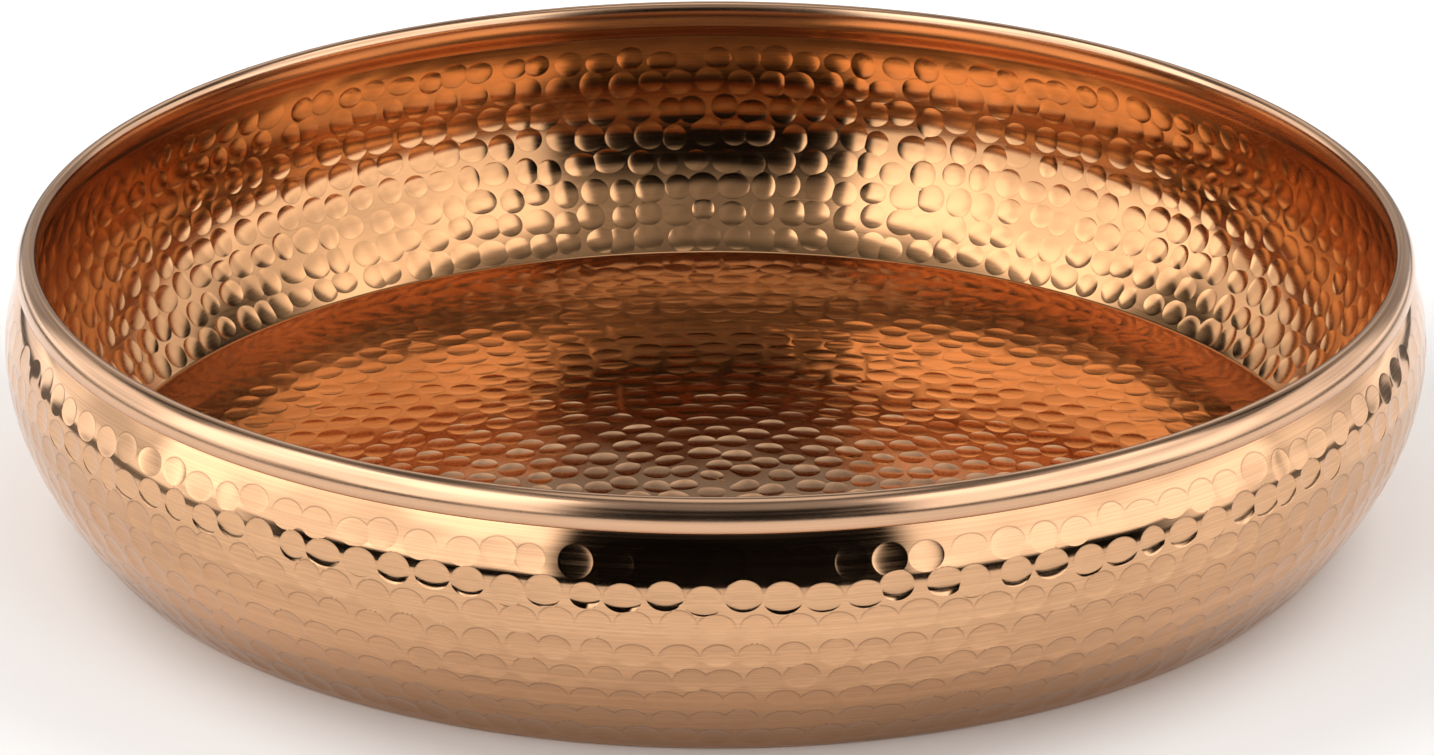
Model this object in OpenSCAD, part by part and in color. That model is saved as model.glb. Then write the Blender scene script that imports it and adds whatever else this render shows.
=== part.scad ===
// Hammered copper basin tray: one copper sheet, spun into a wide low basin
// with a flat floor, an inward-turning wall and an edge rolled outward over
// a steel wire. The origin is at the centre of the underside, +Z is up.
// The hammer marks are a surface finish and are not part of these solids.

/* [Sheet] */
// Thickness of the copper sheet
sheet_t = 1.2; // [0.8:0.1:2]

/* [Basin] */
// Greatest outside diameter, at the belly
basin_d = 356.8; // [240:0.2:460]
// Overall height, from the underside to the top of the rim
basin_h = 69.6; // [56:0.1:100]
// How far the edge of the flat base stands in from the belly
base_inset = 20; // [10:0.5:40]
// Height of the belly above the table
belly_z = 44; // [30:0.5:46]
// Bend radius of the corner between base and wall, on the outside
corner_r = 2.6; // [2.2:0.1:8]

/* [Rim bead] */
// How far the outside of the rolled bead stands in from the belly
rim_inset = 3.4; // [1.5:0.1:12]
// Width of the bead across its flattened section
bead_w = 5; // [4.4:0.1:8]
// Height of the bead along its flattened section
bead_h = 8.9; // [7:0.1:12]
// Angle by which the bead leans in over the basin
bead_lean = 16; // [0:1:25]
// Gap between the sheet's rolled edge and the wall under it
hem_gap = 0.2; // [0.1:0.05:0.4]

/* [Rim wire] */
// Clearance between the wire and the roll on each side
wire_clearance = 0.05; // [0.02:0.01:0.2]
// Gap between the wire's two cut ends
wire_end_gap = 2; // [0.5:0.5:10]

/* [Hidden] */

// Number of sides of every full turn about the basin's axis.
$fn = 180;

// Straight steps that stand for each curve of the section.
lower_steps = 18;
upper_steps = 10;
corner_steps = 6;
neck_steps = 8;
bead_steps = 40;

belly_r = basin_d / 2;
base_r = belly_r - base_inset;
rim_r = belly_r - rim_inset;

// The bead's section is an ellipse, and the hollow in it is a smaller one.
bead_a = bead_w / 2;
bead_b = bead_h / 2;
hollow_a = bead_a - sheet_t;
hollow_b = bead_b - sheet_t;

// Half extents of the leaning ellipse put its centre under the rim's limits.
bead_half_r = norm([bead_a * cos(bead_lean), bead_b * sin(bead_lean)]);
bead_half_z = norm([bead_a * sin(bead_lean), bead_b * cos(bead_lean)]);
bead_centre = [rim_r - bead_half_r, basin_h - bead_half_z];

// Places around the bead's ellipse, as its angle parameter: the rolled edge
// stops at seam_angle, and the wall joins the inner side at neck_angle.
seam_angle = -72;
neck_angle = 208;

// The wall's outer face ends just inside the rolled edge.
seat = ellipse_point(bead_a, bead_b, seam_angle) - [hem_gap, 0];
wire_d = 2 * (hollow_a - wire_clearance);

// A point of a leaning ellipse about the bead's centre.
function ellipse_point(a, b, angle) =
    bead_centre + [
        a * cos(angle) * cos(bead_lean) - b * sin(angle) * sin(bead_lean),
        a * cos(angle) * sin(bead_lean) + b * sin(angle) * cos(bead_lean)
    ];

// The direction of travel along that ellipse as the angle grows.
function ellipse_heading(a, b, angle) =
    [
        -a * sin(angle) * cos(bead_lean) - b * cos(angle) * sin(bead_lean),
        -a * sin(angle) * sin(bead_lean) + b * cos(angle) * cos(bead_lean)
    ];

function unit(v) = v / norm(v);

// The wall's outer face is two parabolas that meet upright at the belly.
function below_belly(z) = (belly_z - z) / belly_z;
function above_belly(z) = (z - belly_z) / (seat.y - belly_z);
function wall_r(z) =
    z < belly_z
        ? belly_r - (belly_r - base_r) * pow(below_belly(z), 2)
        : belly_r - (belly_r - seat.x) * pow(above_belly(z), 2);
function wall_slope(z) =
    z < belly_z
        ? 2 * (belly_r - base_r) * below_belly(z) / belly_z
        : -2 * (belly_r - seat.x) * above_belly(z) / (seat.y - belly_z);

// A point of the wall at height z, set in from the outer face by depth.
function wall_point(z, depth) =
    [wall_r(z), z] + depth * unit([-1, wall_slope(z)]);

// The corner is an arc tangent to the table and to the wall's first slope.
wall_angle = atan2(1, wall_slope(0));
corner_run = corner_r * tan(wall_angle / 2);
corner_centre = [base_r - corner_run, corner_r];
wall_start_z = corner_run * sin(wall_angle);
function corner_arc(radius) = [
    for (i = [0 : corner_steps])
        corner_centre + radius * [sin(i * wall_angle / corner_steps),
                                  -cos(i * wall_angle / corner_steps)]
];

// The wall's two faces, from above the corner up to a height, at a depth.
function wall_face(top_z, depth) = [
    for (i = [1 : lower_steps])
        wall_point(wall_start_z + i * (belly_z - wall_start_z) / lower_steps, depth),
    for (i = [1 : upper_steps])
        wall_point(belly_z + i * (top_z - belly_z) / upper_steps, depth)
];

// Inside, a soft neck leads from the wall into the bead: a cubic curve that
// leaves the wall's face and arrives along the ellipse.
neck_z = seat.y - bead_a;
neck_start = wall_point(neck_z, sheet_t);
neck_end = ellipse_point(bead_a, bead_b, neck_angle);
neck_reach = norm(neck_end - neck_start) / 3;
neck_leave = neck_start + neck_reach * unit([wall_slope(neck_z), 1]);
neck_arrive = neck_end + neck_reach * unit(ellipse_heading(bead_a, bead_b, neck_angle));
function neck_point(t) =
    pow(1 - t, 3) * neck_start
    + 3 * pow(1 - t, 2) * t * neck_leave
    + 3 * (1 - t) * pow(t, 2) * neck_arrive
    + pow(t, 3) * neck_end;
neck_face = [for (i = [1 : neck_steps - 1]) neck_point(i / neck_steps)];

// The bead's outer face, from the seam up, over the top and down to the neck.
bead_face = [
    for (i = [0 : bead_steps])
        ellipse_point(bead_a, bead_b,
                      seam_angle + i * (neck_angle - seam_angle) / bead_steps)
];

// The hollow's face, from the wall's own top round to the rolled edge.
slit_angle = 12;
hollow_face = [
    for (i = [0 : bead_steps])
        ellipse_point(hollow_a, hollow_b,
                      seam_angle - slit_angle - i * (360 - slit_angle) / bead_steps)
];

// The sheet's whole section: the outside from the centre up to the seam, the
// hollow, the bead, and the inside back down to the centre.
sheet_outline = concat(
    [[0, 0]],
    corner_arc(corner_r),
    wall_face(seat.y, 0),
    hollow_face,
    bead_face,
    reverse(neck_face),
    reverse(wall_face(neck_z, sheet_t)),
    reverse(corner_arc(corner_r - sheet_t)),
    [[0, sheet_t]]
);
function reverse(list) = [for (i = [len(list) - 1 : -1 : 0]) list[i]];

// The butt gap in the wire faces the back, +Y.
wire_gap_angle = wire_end_gap / bead_centre.x * 180 / PI;

// The one sheet of copper: floor, wall and rolled bead.
module pan() {
    color("peru")
        rotate_extrude()
            polygon(sheet_outline);
}

// The wire ring that stiffens the rolled edge.
module rim_wire() {
    color("gainsboro")
        rotate([0, 0, 90 + wire_gap_angle / 2])
            rotate_extrude(angle = 360 - wire_gap_angle)
                translate(bead_centre)
                    circle(d = wire_d, $fn = 48);
}

pan();
rim_wire();
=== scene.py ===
"""Hammered copper basin tray: the looks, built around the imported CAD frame. Metres, +Z up."""

import math

import bpy
import numpy as np
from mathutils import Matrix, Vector


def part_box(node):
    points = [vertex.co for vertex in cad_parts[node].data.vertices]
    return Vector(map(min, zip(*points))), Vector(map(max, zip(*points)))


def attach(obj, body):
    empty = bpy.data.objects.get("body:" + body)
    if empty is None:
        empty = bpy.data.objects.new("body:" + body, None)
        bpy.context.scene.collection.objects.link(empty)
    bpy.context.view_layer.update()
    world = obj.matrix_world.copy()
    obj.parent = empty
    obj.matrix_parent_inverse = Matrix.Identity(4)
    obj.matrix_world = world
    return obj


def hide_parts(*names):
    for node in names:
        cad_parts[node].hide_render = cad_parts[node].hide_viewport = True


MM = 0.001

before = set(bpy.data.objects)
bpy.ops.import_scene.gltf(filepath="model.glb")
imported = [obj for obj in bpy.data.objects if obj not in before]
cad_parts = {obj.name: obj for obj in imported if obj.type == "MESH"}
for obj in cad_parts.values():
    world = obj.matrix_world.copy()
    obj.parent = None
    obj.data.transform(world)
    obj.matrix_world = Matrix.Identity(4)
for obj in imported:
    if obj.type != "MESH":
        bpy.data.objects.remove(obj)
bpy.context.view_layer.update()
pan_low, pan_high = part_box("pan")

# ---------------------------------------------------------------- the sheet's section
# The outside sizes come from the frame, the rest are the sheet's own sizes.
BELLY_R = pan_high.x
BASIN_H = pan_high.z
SHEET_T = 1.2 * MM
BASE_INSET = 20 * MM
BELLY_Z = 44 * MM
CORNER_R = 2.6 * MM
RIM_INSET = 3.4 * MM
BEAD_W = 5 * MM
BEAD_H = 8.9 * MM
BEAD_LEAN = math.radians(16)
HEM_GAP = 0.2 * MM
SEAM_ANGLE = math.radians(-72)
SLIT_ANGLE = math.radians(12)
NECK_ANGLE = math.radians(208)

BASE_R = BELLY_R - BASE_INSET
RIM_R = BELLY_R - RIM_INSET
BEAD_CENTRE = np.array([
    RIM_R - math.hypot(BEAD_W / 2 * math.cos(BEAD_LEAN), BEAD_H / 2 * math.sin(BEAD_LEAN)),
    BASIN_H - math.hypot(BEAD_W / 2 * math.sin(BEAD_LEAN), BEAD_H / 2 * math.cos(BEAD_LEAN)),
])


def leaning_ellipse(angle, inset=0.0):
    """Points (r, z) of the bead's ellipse, or of the hollow that lies inset inside it."""
    across = (BEAD_W / 2 - inset) * np.cos(angle)
    up = (BEAD_H / 2 - inset) * np.sin(angle)
    lean_c = math.cos(BEAD_LEAN)
    lean_s = math.sin(BEAD_LEAN)
    return BEAD_CENTRE + np.stack([across * lean_c - up * lean_s, across * lean_s + up * lean_c], -1)


SEAT = leaning_ellipse(SEAM_ANGLE) - [HEM_GAP, 0]


def wall(z, depth=0.0):
    """Points of the wall: two parabolas that meet upright at the belly, set in by depth."""
    z = np.asarray(z, float)
    below = (BELLY_Z - z) / BELLY_Z
    above = (z - BELLY_Z) / (SEAT[1] - BELLY_Z)
    low = z < BELLY_Z
    r = BELLY_R - np.where(low, BASE_INSET * below**2, (BELLY_R - SEAT[0]) * above**2)
    slope = np.where(low, 2 * BASE_INSET * below / BELLY_Z,
                     -2 * (BELLY_R - SEAT[0]) * above / (SEAT[1] - BELLY_Z))
    inward = np.stack([-np.ones_like(slope), slope], -1)
    inward /= np.linalg.norm(inward, axis=-1, keepdims=True)
    return np.stack([r, z], -1) + depth * inward


# The corner between the flat base and the wall, and where the wall leads over to the bead.
WALL_ANGLE = math.atan2(BELLY_Z, 2 * BASE_INSET)
CORNER_RUN = CORNER_R * math.tan(WALL_ANGLE / 2)
WALL_START_Z = CORNER_RUN * math.sin(WALL_ANGLE)
NECK_Z = SEAT[1] - BEAD_W / 2


def corner(radius):
    """The arc between the flat base and the wall."""
    angle = np.linspace(0, WALL_ANGLE, 20)
    centre = np.array([BASE_R - CORNER_RUN, CORNER_R])
    return centre + radius * np.stack([np.sin(angle), -np.cos(angle)], -1)


def neck():
    """The cubic curve that leads from the wall's inner face up into the bead."""
    start = wall(NECK_Z, SHEET_T)
    end = leaning_ellipse(NECK_ANGLE)
    reach = np.linalg.norm(end - start) / 3
    leave = wall(NECK_Z + MM, SHEET_T) - wall(NECK_Z - MM, SHEET_T)
    arrive = leaning_ellipse(NECK_ANGLE + 0.01) - leaning_ellipse(NECK_ANGLE - 0.01)
    leave *= reach / np.linalg.norm(leave)
    arrive *= reach / np.linalg.norm(arrive)
    t = np.linspace(0, 1, 40)[:, None]
    return ((1 - t) ** 3 * start + 3 * (1 - t) ** 2 * t * (start + leave)
            + 3 * (1 - t) * t**2 * (end + arrive) + t**3 * end)


def turn(first, last, inset=0.0):
    """The stretch of the bead's ellipse from one angle to another."""
    return leaning_ellipse(np.linspace(first, last, 200), inset)


# ---------------------------------------------------------------- hammer marks
class Marks:
    """Rows of shallow round dishes on one face. Along a row they are counted round the
    axis; v is the distance across the rows, measured along the face.

    A dish has the half width wide and the half height high. The depths are by row, and the
    last one holds for all further rows. With edge 0 a dish is a bowl, and the nearer it is
    to 1, the flatter its middle and the steeper its edge. Stray is how much the dishes
    differ. The last argument is painted shade: how much darker each dish's edge is
    painted on the side where v grows."""

    def __init__(self, seed, rows, radius_at, pitch, wide, high, depths, edge, stray, painted_edge_shade):
        rng = np.random.RandomState(seed)
        self.edge = edge
        self.painted_edge_shade = painted_edge_shade
        self.reach = 1.6 * high
        self.rows = []
        parts = []
        for v in rows:
            girth = 2 * math.pi * radius_at(v)
            count = max(1, round(girth / pitch))
            at = (np.arange(count) + rng.uniform() + rng.normal(0, stray, count)) / count
            self.rows.append((v, sum(len(part[0]) for part in parts), at[0], count))
            depth = depths[min(len(self.rows), len(depths)) - 1]
            parts.append((
                at,
                v + rng.normal(0, 0.7 * stray, count) * pitch,
                np.minimum(wide * rng.normal(1, stray, count), 0.6 * girth / count),
                high * rng.normal(1, stray, count),
                depth * rng.normal(1, 2.5 * stray, count).clip(0.5, 1.5),
            ))
        self.at, self.v, self.half_u, self.half_v, self.depth = map(np.concatenate, zip(*parts))

    def fade(self, v):
        """How much a stretch at v is hammered at all, from 0 to 1."""
        ends = sorted((self.rows[0][0], self.rows[-1][0]))
        beyond = max(ends[0] - v, v - ends[1], 0.0)
        return max(0.0, 1 - beyond / self.reach)

    def local(self, which, turns, v, radius):
        """Where points lie in their dishes: across, along, both 1 at the edge."""
        across = ((turns - self.at[which] + 0.5) % 1.0 - 0.5) * 2 * math.pi * radius
        return across / self.half_u[which], (v - self.v[which]) / self.half_v[which]

    def sunk(self, which, turns, v, radius):
        """How deep the dishes are at the points, below zero outside them."""
        x, y = self.local(which, turns, v, radius)
        square = x * x + y * y
        return self.depth[which] * (1 - square * (1 - self.edge + self.edge * square**2))

    def deepest(self, turns, v, radius):
        """The dishes that cut deepest and second deepest at each point."""
        dish = np.zeros((2, len(v)), int)
        depth = np.full((2, len(v)), -1.0)
        for row_v, start, first_at, count in self.rows:
            near = np.flatnonzero(abs(v - row_v) < self.reach)
            first = np.floor((turns[near] - first_at) * count).astype(int)
            for step in (-1, 0, 1, 2):
                k = start + (first + step) % count
                d = self.sunk(k, turns[near], v[near], radius[near])
                top = d > depth[0, near]
                i = near[top]
                dish[1, i], depth[1, i] = dish[0, i], depth[0, i]
                dish[0, i], depth[0, i] = k[top], d[top]
                second = (d > depth[1, near]) & (k != dish[0, near])
                i = near[second]
                dish[1, i], depth[1, i] = k[second], d[second]
        return dish, depth


class Waves:
    """The slow unevenness that hammering leaves: a few long waves through the metal."""

    def __init__(self, seed, height, lengths):
        rng = np.random.RandomState(seed)
        way = rng.normal(size=(len(lengths), 3))
        self.way = way / np.linalg.norm(way, axis=1, keepdims=True) * 2 * math.pi
        self.way /= np.array(lengths)[:, None]
        self.start = rng.uniform(0, 2 * math.pi, len(lengths))
        self.height = height

    def at(self, place):
        """The height of the waves at the places, and the direction and slope they climb."""
        phase = place @ self.way.T + self.start
        return self.height * np.sin(phase).sum(1), self.height * np.cos(phase) @ self.way


# ---------------------------------------------------------------- the revolved shell
def arclength(points):
    """The distance along a curve at each of its points."""
    return np.concatenate([[0], np.cumsum(np.linalg.norm(np.diff(points, axis=0), axis=1))])


def resample(points, spacing):
    """Even points along a curve, their distances along it and its directions there."""
    s = arclength(points)
    at = np.linspace(0, s[-1], max(1, round(s[-1] / spacing)) + 1)
    near = 1e-5

    def place(distance):
        distance = distance.clip(0, s[-1])
        return np.stack([np.interp(distance, s, points[:, i]) for i in (0, 1)], -1)

    along = place(at + near) - place(at - near)
    return place(at), at, along / np.linalg.norm(along, axis=1, keepdims=True)


def add_stretch(rings, points, spacing, around, zone, marks=None):
    """Adds a stretch of the section to the rings. It starts where the last one ended, and
    around gives the number of vertices in a ring of a given radius."""
    for i, (point, v, along) in enumerate(zip(*resample(points, spacing))):
        if i == 0 and rings:
            rings[-1]["after"] = along
            continue
        count = 1 if point[0] < 1e-6 else around(point[0])
        rings.append(dict(point=point, v=v, before=along, after=along, count=count,
                          phase=0.5 * (len(rings) % 2), zone=zone, marks=marks))


def ring_turns(ring, k):
    """Where the ring's k-th vertices lie, in turns round the axis."""
    return (k + ring["phase"]) / ring["count"]


def ring_vertices(ring):
    """A ring's places, and its normals on the stretch before it and on the one after.
    The dishes are in the places only: the material turns the normals inside them."""
    turns = ring_turns(ring, np.arange(ring["count"]))
    c = np.cos(2 * math.pi * turns)
    s = np.sin(2 * math.pi * turns)
    flat = np.zeros(len(turns))
    r, z = ring["point"]
    place = np.stack([r * c, r * s, flat + z], -1)
    directions = (ring["before"], ring["after"])
    normals = [np.stack([dz * c, dz * s, flat - dr], -1) for dr, dz in directions]
    if ring["marks"] and len(turns) > 1:
        lift, climb = waves.at(place)
        fade = ring["marks"].fade(ring["v"])
        depth = ring["marks"].deepest(turns, flat + ring["v"], flat + r)[1][0]
        place = place + (fade * lift - depth.clip(0))[:, None] * normals[0]
        for i, normal in enumerate(normals):
            tilted = normal - fade * (climb - (climb * normal).sum(1)[:, None] * normal)
            normals[i] = tilted / np.linalg.norm(tilted, axis=1, keepdims=True)
    return place, normals[0], normals[1]


def zip_rings(a, b):
    """Triangles between two rings, as ring numbers (0 or 1) and vertex counts round them."""
    n = a["count"]
    m = b["count"]
    edge_a = (np.arange(n) + 0.5 + a["phase"]) / n
    edge_b = (np.arange(m) + 0.5 + b["phase"]) / m + 1e-9
    triangles = []
    if n > 1:
        k = np.arange(n)
        facing = np.searchsorted(edge_b, edge_a, side="right") if m > 1 else k * 0
        triangles.append(np.stack([k * 0, k, k * 0, k + 1, k * 0 + 1, facing], -1))
    if m > 1:
        k = np.arange(m)
        facing = np.searchsorted(edge_a, edge_b, side="right") if n > 1 else k * 0
        triangles.append(np.stack([k * 0 + 1, k + 1, k * 0 + 1, k, k * 0, facing], -1))
    return np.concatenate(triangles).reshape(-1, 3, 2)


# A place outside every dish.
NO_MARK = np.array([2.0, 0.0, 0.0])
MARK_LABELS = ("mark_a", "mark_b")


def face_marks(marks, turns, v, radius):
    """For each face the places of its corners in the two dishes that matter to it."""
    middle = [value.mean(1) for value in (turns, v, radius)]
    both = []
    for dish in marks.deepest(*middle)[0]:
        x, y = marks.local(dish[:, None], turns, v, radius)
        both.append(np.stack([x, y, np.broadcast_to(marks.depth[dish][:, None], x.shape)], -1))
    return both


def shell_object(name, rings, materials):
    """One closed object from the rings, with its own normals and a material per zone."""
    places, before, after = zip(*(ring_vertices(ring) for ring in rings))
    starts = np.concatenate([[0], np.cumsum([ring["count"] for ring in rings])])
    faces = []
    normals = []
    zones = []
    dishes = ([], [])
    for k in range(len(rings) - 1):
        pair = rings[k:k + 2]
        t = zip_rings(*pair)
        which = t[..., 0]
        counts = np.array([ring["count"] for ring in pair])
        corner_at = t[..., 1] % counts[which]
        faces.append(starts[k + which] + corner_at)
        both = np.concatenate([after[k], before[k + 1]])
        normals.append(both[np.where(which == 0, 0, counts[0]) + corner_at])
        zones.append(np.full(len(t), pair[1]["zone"]))
        if pair[1]["marks"]:
            lower, upper = pair
            lower_v = lower["v"] if lower["marks"] is upper["marks"] else 0.0
            turns = np.where(which == 0, ring_turns(lower, t[..., 1]), ring_turns(upper, t[..., 1]))
            v = np.where(which == 0, lower_v, upper["v"])
            radius = np.where(which == 0, lower["point"][0], upper["point"][0])
            local = face_marks(pair[1]["marks"], turns, v, radius)
        else:
            local = [np.broadcast_to(NO_MARK, (len(t), 3, 3))] * 2
        for store, values in zip(dishes, local):
            store.append(values)
    faces, normals, zones = map(np.concatenate, (faces, normals, zones))
    places = np.concatenate(places)

    mesh = bpy.data.meshes.new(name)
    mesh.vertices.add(len(places))
    mesh.vertices.foreach_set("co", places.ravel())
    mesh.loops.add(faces.size)
    mesh.loops.foreach_set("vertex_index", faces.ravel())
    mesh.polygons.add(len(faces))
    mesh.polygons.foreach_set("loop_start", np.arange(0, faces.size, 3))
    for material in materials:
        mesh.materials.append(material)
    mesh.polygons.foreach_set("material_index", zones)
    mesh.update(calc_edges=True)
    mesh.shade_smooth()
    mesh.normals_split_custom_set(normals.reshape(-1, 3))
    for label, values in zip(MARK_LABELS, dishes):
        layer = mesh.attributes.new(label, "FLOAT_VECTOR", "CORNER")
        layer.data.foreach_set("vector", np.concatenate(values).astype(np.float32).ravel())
    piece = bpy.data.objects.new(name, mesh)
    bpy.context.scene.collection.objects.link(piece)
    return piece


# ---------------------------------------------------------------- materials
class Nodes:
    """A material's or world's node tree, with short ways to add and join nodes."""

    def __init__(self, tree):
        self.tree = tree
        tree.nodes.clear()

    def add(self, kind, inputs=None, **settings):
        node = self.tree.nodes.new(kind)
        for key, value in settings.items():
            setattr(node, key, value)
        for key, value in (inputs or {}).items():
            if isinstance(value, bpy.types.NodeSocket):
                self.tree.links.new(value, node.inputs[key])
            else:
                node.inputs[key].default_value = value
        return node

    def math(self, operation, *values):
        """One Math node on the values."""
        inputs = dict(enumerate(values))
        return self.add("ShaderNodeMath", inputs, operation=operation).outputs[0]

    def span(self, value, low, high, to_low=0.0, to_high=1.0, smooth=True):
        """value carried from low..high to to_low..to_high."""
        inputs = {"Value": value, "From Min": low, "From Max": high,
                  "To Min": to_low, "To Max": to_high}
        kind = "SMOOTHSTEP" if smooth else "LINEAR"
        return self.add("ShaderNodeMapRange", inputs, interpolation_type=kind).outputs[0]

    def noise(self, vector, scale, detail=2.0, roughness=0.5):
        """Soft noise about 0.5, of that many bumps per unit."""
        inputs = {"Vector": vector, "Scale": scale, "Detail": detail, "Roughness": roughness}
        return self.add("ShaderNodeTexNoise", inputs).outputs["Fac"]

    def mix(self, factor, first, second):
        """Between two colours: the Mix node keeps its colours in sockets 6, 7 and 2."""
        node = self.add("ShaderNodeMix", {0: factor, 6: first, 7: second}, data_type="RGBA")
        return node.outputs[2]


def rgb(red, green, blue):
    """An opaque colour."""
    return (red, green, blue, 1.0)


def lathe_lines(nodes, across, around):
    """The place on the object, and the noise value there of lines drawn out round the
    axis: across lines per metre, and around changes per radian."""
    place = nodes.add("ShaderNodeTexCoord").outputs["Object"]
    x, y, z = nodes.add("ShaderNodeSeparateXYZ", {0: place}).outputs
    r = nodes.math("SQRT", nodes.math("ADD", nodes.math("MULTIPLY", x, x),
                                      nodes.math("MULTIPLY", y, y)))
    line = nodes.add("ShaderNodeCombineXYZ", {
        0: nodes.math("MULTIPLY", r, across),
        1: nodes.math("MULTIPLY", z, across),
        2: nodes.math("MULTIPLY", nodes.math("ARCTAN2", y, x), around),
    }).outputs[0]
    return place, nodes.noise(line, 1.0, 3.0, 0.6)


def hammered(nodes, edge):
    """From each face's own place in its dishes: the height there, and how near the place
    is to a dish's edge on the side where v grows, from 0 to 1."""
    heights = []
    insides = []
    tops = []
    for label in MARK_LABELS:
        local = nodes.add("ShaderNodeAttribute", attribute_name=label).outputs["Vector"]
        x, y, depth = nodes.add("ShaderNodeSeparateXYZ", {0: local}).outputs
        square = nodes.math("ADD", nodes.math("MULTIPLY", x, x), nodes.math("MULTIPLY", y, y))
        steep = nodes.math("MULTIPLY_ADD", nodes.math("MULTIPLY", square, square), edge, 1 - edge)
        inside = nodes.math("SUBTRACT", 1.0, nodes.math("MULTIPLY", square, steep))
        insides.append(inside)
        tops.append(nodes.span(y, -0.2, 0.8))
        heights.append(nodes.math("MULTIPLY", nodes.math("MAXIMUM", inside, 0.0), depth))
    from_edge = nodes.math("ABSOLUTE", nodes.math("MAXIMUM", *insides))
    height = nodes.math("MULTIPLY", nodes.math("MAXIMUM", *heights), -1.0)
    near_edge = nodes.span(from_edge, 0.03, 0.25, 1.0, 0.0)
    return height, nodes.math("MULTIPLY", near_edge, tops[0])


# Copper's colour by place: the bead is the palest. The inside's tone is painted shade:
# the same copper made darker and redder than outside, for the shade inside the basin.
OUTER_TONE = (0.66, 0.38, 0.21)
BEAD_TONE = (0.69, 0.42, 0.26)
SHADED_INNER_TONE = (0.58, 0.305, 0.145)


def copper(name, tone, streak, roughness, line_bump, fine_bump, marks=None, painted_base_shade=0.0):
    """Bright copper of the given tone: lathe lines, which show as lighter and darker
    streaks too, small scratches and a slight change of colour. The base share is painted
    shade: the colour is darker by that share down at the base. Marks get painted shade
    on one edge of each dish too."""
    material = bpy.data.materials.new(name)
    material.use_nodes = True
    nodes = Nodes(material.node_tree)
    place, lines = lathe_lines(nodes, 2500, 2.0)
    broad = nodes.noise(place, 22.0, 3.0, 0.55)
    fine = nodes.noise(place, 900.0, 2.0, 0.6)
    streaks = nodes.math("MULTIPLY", nodes.span(lines, 0.3, 0.7, -1.0, 1.0), streak)
    shade = nodes.math("ADD", nodes.span(broad, 0.3, 0.7, 0.97, 1.03), streaks)
    height_up = nodes.add("ShaderNodeSeparateXYZ", {0: place}).outputs[2]
    # Painted shade: the colour darkens towards the base by the base share.
    shade = nodes.math("MULTIPLY", shade, nodes.span(height_up, 0.0, 24 * MM, 1 - painted_base_shade, 1.0))
    if marks:
        dish, near_edge = hammered(nodes, marks.edge)
        # Painted shade: each dish's edge on the side where v grows is darkened by the marks' last
        # share.
        edge_shade_scale = nodes.math("MULTIPLY_ADD", near_edge, -marks.painted_edge_shade, 1.0)
        shade = nodes.math("MULTIPLY", shade, edge_shade_scale)
    colour = nodes.add("ShaderNodeVectorMath", {0: tone, "Scale": shade}, operation="SCALE")
    rough = nodes.math("ADD", nodes.span(broad, 0.3, 0.7, roughness * 0.85, roughness * 1.15),
                       nodes.span(lines, 0.35, 0.75, -0.02, 0.04))
    height = nodes.math("ADD", nodes.math("MULTIPLY", lines, line_bump),
                        nodes.math("MULTIPLY", fine, fine_bump))
    if marks:
        height = nodes.math("ADD", height, dish)
    bump = nodes.add("ShaderNodeBump", {"Strength": 1.0, "Distance": 1.0, "Height": height})
    shader = nodes.add("ShaderNodeBsdfPrincipled", {
        "Base Color": colour.outputs[0], "Metallic": 1.0, "Roughness": rough,
        "Normal": bump.outputs[0],
    })
    nodes.add("ShaderNodeOutputMaterial", {"Surface": shader.outputs[0]})
    return material


def steel(name):
    """Drawn steel wire."""
    material = bpy.data.materials.new(name)
    material.use_nodes = True
    nodes = Nodes(material.node_tree)
    lines = lathe_lines(nodes, 4000, 4.0)[1]
    colour = nodes.mix(lines, rgb(0.42, 0.41, 0.40), rgb(0.60, 0.59, 0.57))
    bump = nodes.add("ShaderNodeBump", {"Strength": 1.0, "Distance": 3e-6, "Height": lines})
    shader = nodes.add("ShaderNodeBsdfPrincipled", {
        "Base Color": colour, "Metallic": 1.0, "Normal": bump.outputs[0],
        "Roughness": nodes.span(lines, 0.3, 0.7, 0.28, 0.42),
    })
    nodes.add("ShaderNodeOutputMaterial", {"Surface": shader.outputs[0]})
    return material


# ---------------------------------------------------------------- the pan
FINE = 1.25 * MM


def fine_ring(r):
    """Hammered faces: vertices a fine step apart."""
    return max(12, round(2 * math.pi * r / FINE))


def coarse_ring(r):
    """The plain underside and the hidden inside of the bead."""
    return 240


def round_ring(r):
    """The smooth outside of the bead."""
    return 900


# Outside, the rows of marks are counted down from the seam under the bead.
outer_wall = wall(np.linspace(WALL_START_Z, SEAT[1], 400))
outer_length = arclength(outer_wall)[-1]
ROW_PITCH = 7.6 * MM
outer_rows = [outer_length - (7.2 * MM + ROW_PITCH * k) for k in range(8)]
outer_marks = Marks(11, outer_rows, lambda v: BELLY_R, pitch=9.3 * MM,
                    wide=4.3 * MM, high=3.7 * MM, depths=[0.12 * MM, 0.36 * MM, 0.30 * MM],
                    edge=0.2, stray=0.07, painted_edge_shade=0.36)

# Inside, they are counted up from the floor's edge.
inner_wall = wall(np.linspace(NECK_Z, WALL_START_Z, 400), SHEET_T)
inner_length = arclength(inner_wall)[-1]
inner_rows = [inner_length - (3.8 * MM + 7.3 * MM * k) for k in range(8)]
inner_marks = Marks(12, inner_rows, lambda v: BELLY_R, pitch=8.3 * MM,
                    wide=3.9 * MM, high=3.7 * MM, depths=[0.22 * MM],
                    edge=0.1, stray=0.09, painted_edge_shade=0.15)

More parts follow.
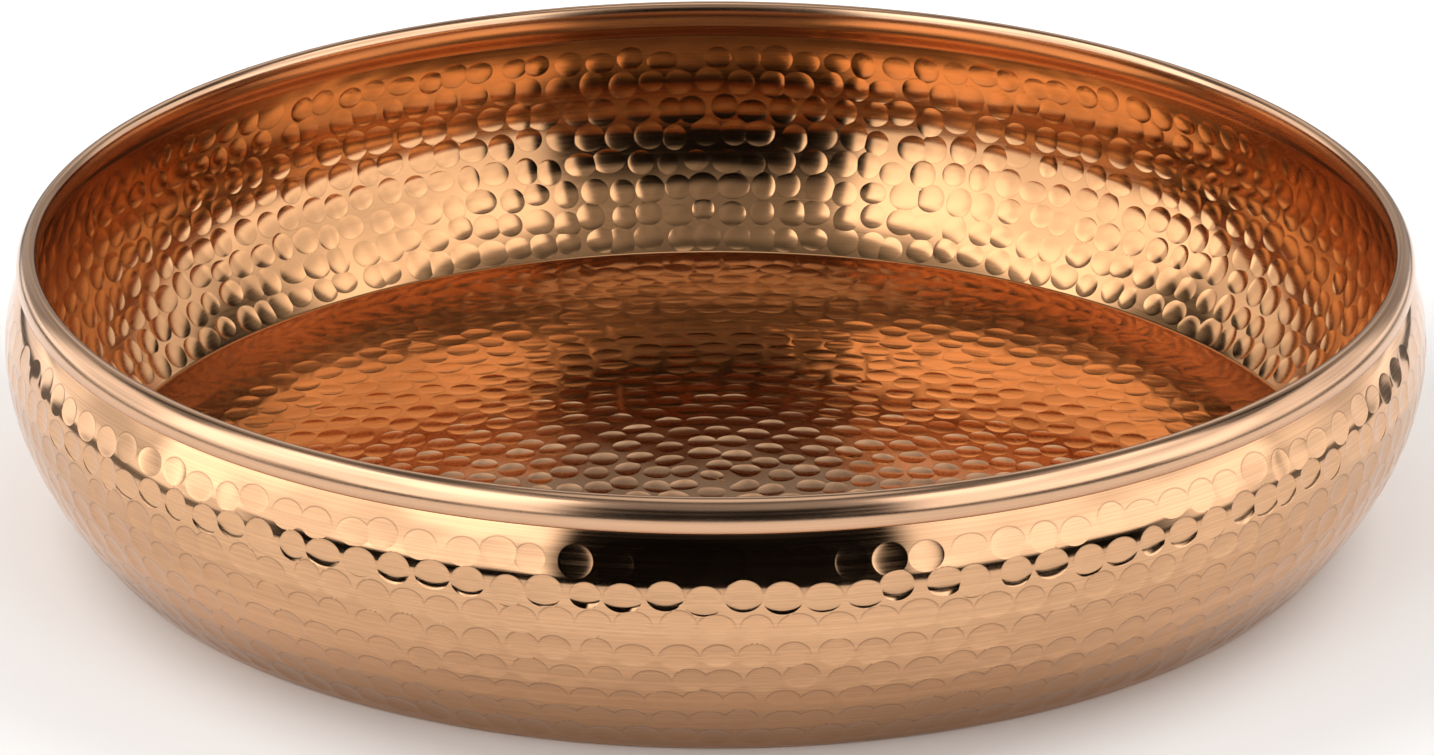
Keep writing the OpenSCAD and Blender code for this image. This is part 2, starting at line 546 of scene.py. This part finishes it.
# The floor's rows are rings about its centre, counted in from its edge.
floor_r = BASE_R - CORNER_RUN
floor_rows = [4.0 * MM + 7.2 * MM * k for k in range(22)]
floor_marks = Marks(13, floor_rows, lambda v: floor_r - v, pitch=9.2 * MM,
                    wide=4.1 * MM, high=3.6 * MM, depths=[0.125 * MM],
                    edge=0.1, stray=0.07, painted_edge_shade=0.2)

waves = Waves(14, 0.02 * MM, [46 * MM, 38 * MM, 31 * MM, 27 * MM, 23 * MM, 19 * MM])

UNDERSIDE, WALL_OUT, BEAD, WALL_IN, FLOOR = range(5)
rings = []
add_stretch(rings, np.array([[0, 0], [floor_r, 0]]), 6 * MM, coarse_ring, UNDERSIDE)
add_stretch(rings, corner(CORNER_R), 0.6 * MM, fine_ring, UNDERSIDE)
add_stretch(rings, outer_wall, FINE * 0.87, fine_ring, WALL_OUT, outer_marks)
add_stretch(rings, turn(SEAM_ANGLE - SLIT_ANGLE, SEAM_ANGLE - 2 * math.pi, SHEET_T),
            1.0 * MM, coarse_ring, BEAD)
add_stretch(rings, turn(SEAM_ANGLE, NECK_ANGLE), 0.4 * MM, round_ring, BEAD)
add_stretch(rings, neck()[::-1], 0.6 * MM, round_ring, BEAD)
add_stretch(rings, inner_wall, FINE * 0.87, fine_ring, WALL_IN, inner_marks)
add_stretch(rings, corner(CORNER_R - SHEET_T)[::-1], 0.3 * MM, fine_ring, WALL_IN)
add_stretch(rings, np.array([[floor_r, SHEET_T], [0, SHEET_T]]), FINE * 0.87, fine_ring, FLOOR,
            floor_marks)

pan = shell_object("hammered_pan", rings, [
    copper("copper_underside", OUTER_TONE, 0.08, 0.26, 1.5e-6, 4e-7),
    # The outside wall's last value, 0.35, is painted shade towards the base.
    copper("copper_wall_outside", OUTER_TONE, 0.10, 0.08, 1.5e-6, 1.5e-7, outer_marks, 0.35),
    copper("copper_bead", BEAD_TONE, 0.06, 0.19, 1.0e-6, 4e-7),
    copper("copper_wall_inside", SHADED_INNER_TONE, 0.02, 0.15, 1.0e-6, 1.5e-7, inner_marks),
    copper("copper_floor", SHADED_INNER_TONE, 0.02, 0.10, 1.0e-6, 1.5e-7, floor_marks),
])
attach(pan, "root")
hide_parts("pan")

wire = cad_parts["rim_wire"]
wire.data.materials.clear()
wire.data.materials.append(steel("drawn_steel"))

# ---------------------------------------------------------------- the floor it stands on
FLOOR_HALF_WIDTH = 0.36
FLOOR_HALF_DEPTH = 0.65
FLOOR_DROP = 0.05 * MM


def pale_floor():
    """A plain oval sheet of pale paper, narrower than deep, just under the pan."""
    mesh = bpy.data.meshes.new("studio_floor")
    turn_at = np.linspace(0, 2 * math.pi, 128, endpoint=False)
    x = FLOOR_HALF_WIDTH * np.cos(turn_at)
    y = FLOOR_HALF_DEPTH * np.sin(turn_at)
    edge = np.stack([x, y, np.full(128, pan_low.z - FLOOR_DROP)], -1)
    mesh.from_pydata(edge.tolist(), [], [tuple(range(128))])
    floor = bpy.data.objects.new("studio_floor", mesh)
    bpy.context.scene.collection.objects.link(floor)
    material = bpy.data.materials.new("pale_floor")
    material.use_nodes = True
    nodes = Nodes(material.node_tree)
    place = nodes.add("ShaderNodeTexCoord").outputs["Object"]
    pale = nodes.mix(nodes.noise(place, 6.0, 3.0), rgb(0.86, 0.85, 0.84), rgb(0.88, 0.87, 0.86))
    shader = nodes.add("ShaderNodeBsdfPrincipled", {"Base Color": pale, "Roughness": 0.7})
    shader.inputs["Specular IOR Level"].default_value = 0.2
    nodes.add("ShaderNodeOutputMaterial", {"Surface": shader.outputs[0]})
    mesh.materials.append(material)


pale_floor()


# ---------------------------------------------------------------- light
def studio_light():
    """Soft boxes painted on the sky by azimuth (0 in front, positive to the right) and
    elevation, each with soft edges. The camera itself sees plain white paper there."""
    world = bpy.data.worlds.new("studio")
    bpy.context.scene.world = world
    world.use_nodes = True
    nodes = Nodes(world.node_tree)
    way = nodes.add("ShaderNodeTexCoord").outputs["Generated"]
    x, y, z = nodes.add("ShaderNodeSeparateXYZ", {0: way}).outputs
    azimuth = nodes.math("ARCTAN2", x, nodes.math("MULTIPLY", y, -1.0))
    behind = nodes.math("SUBTRACT", math.pi, nodes.math("ABSOLUTE", azimuth))
    elevation = nodes.math("ARCSINE", z)

    def window(value, low, high, soft):
        """1 between low and high, in degrees, fading to 0 over twice soft at each end."""
        rise = nodes.span(value, math.radians(low - soft), math.radians(low + soft))
        fall = nodes.span(value, math.radians(high - soft), math.radians(high + soft), 1.0, 0.0)
        return nodes.math("MULTIPLY", rise, fall)

    def box(at, sides, heights, strength, soft_side=3.0, soft_height=3.0):
        """One soft box: its sides and heights in degrees, and how bright it is."""
        mask = nodes.math("MULTIPLY", window(at, *sides, soft_side),
                          window(elevation, *heights, soft_height))
        return nodes.math("MULTIPLY", mask, strength)

    lights = [
        box(azimuth, (-96, -25), (-2, 50), 2.0, 3.0, 1.0),
        box(azimuth, (30, 96), (-2, 50), 1.6, 3.0, 1.0),
        box(behind, (50, 84), (-2, 28), 1.2, 6.0, 1.0),
        box(azimuth, (-150, -75), (-8, -2), 1.5, 8.0, 1.0),
        box(azimuth, (75, 150), (-8, -2), 1.4, 8.0, 1.0),
        box(behind, (30, 105), (-20, -8), 0.2, 8.0, 1.0),
        box(behind, (-1, 50), (-4, 58), 0.4, 6.0, 5.0),
        box(behind, (-1, 28), (26, 44), 0.5, 6.0),
        box(azimuth, (-110, 110), (34, 60), 0.34, 15.0, 7.0),
        nodes.span(elevation, math.radians(40), math.radians(60), 0.0, 0.12),
        nodes.span(elevation, math.radians(70), math.radians(78), 0.0, 0.9),
    ]
    total = 0.005
    for light in lights:
        total = nodes.math("ADD", light, total)
    uneven = nodes.span(nodes.noise(way, 3.0, 1.0), 0.35, 0.65, 0.75, 1.2)
    total = nodes.math("MULTIPLY", total, uneven)
    boxes = nodes.add("ShaderNodeBackground", {"Color": rgb(1.0, 1.0, 1.0), "Strength": total})
    paper = nodes.add("ShaderNodeBackground", {"Color": rgb(1.0, 1.0, 1.0), "Strength": 1.0})
    seen = nodes.add("ShaderNodeLightPath").outputs["Is Camera Ray"]
    sky = nodes.add("ShaderNodeMixShader", {0: seen, 1: boxes.outputs[0], 2: paper.outputs[0]})
    nodes.add("ShaderNodeOutputWorld", {"Surface": sky.outputs[0]})


studio_light()


def floor_light(side):
    """A wide soft lamp that brightens the floor but is kept out of the reflections."""
    data = bpy.data.lights.new("floor_light", "AREA")
    data.shape = "DISK"
    data.size = 1.0
    data.energy = 10.0
    lamp = bpy.data.objects.new("floor_light", data)
    place = Vector((side * 0.9, 0.4, 1.1))
    lamp.location = place
    lamp.rotation_euler = place.to_track_quat("Z", "Y").to_euler()
    lamp.visible_glossy = False
    lamp.visible_camera = False
    bpy.context.scene.collection.objects.link(lamp)


floor_light(-1)
floor_light(1)

# ---------------------------------------------------------------- the camera
VIEW_ELEVATION = math.radians(22.3)
VIEW_DISTANCE = 1.7694
AIM_HEIGHT = 0.0288
AIM_ASIDE = 0.0003
LENS = 175.57


def look_camera():
    """The camera in front of the tray, looking down on it as in the photo."""
    data = bpy.data.cameras.new("view")
    data.lens = LENS
    data.sensor_width = 36
    data.clip_end = 100
    camera = bpy.data.objects.new("view", data)
    bpy.context.scene.collection.objects.link(camera)
    aim = Vector((AIM_ASIDE, 0, AIM_HEIGHT))
    back = Vector((0, -math.cos(VIEW_ELEVATION), math.sin(VIEW_ELEVATION)))
    camera.location = aim + VIEW_DISTANCE * back
    camera.rotation_euler = (math.pi / 2 - VIEW_ELEVATION, 0, 0)
    bpy.context.scene.camera = camera


look_camera()
bpy.context.scene.view_settings.view_transform = "Standard"
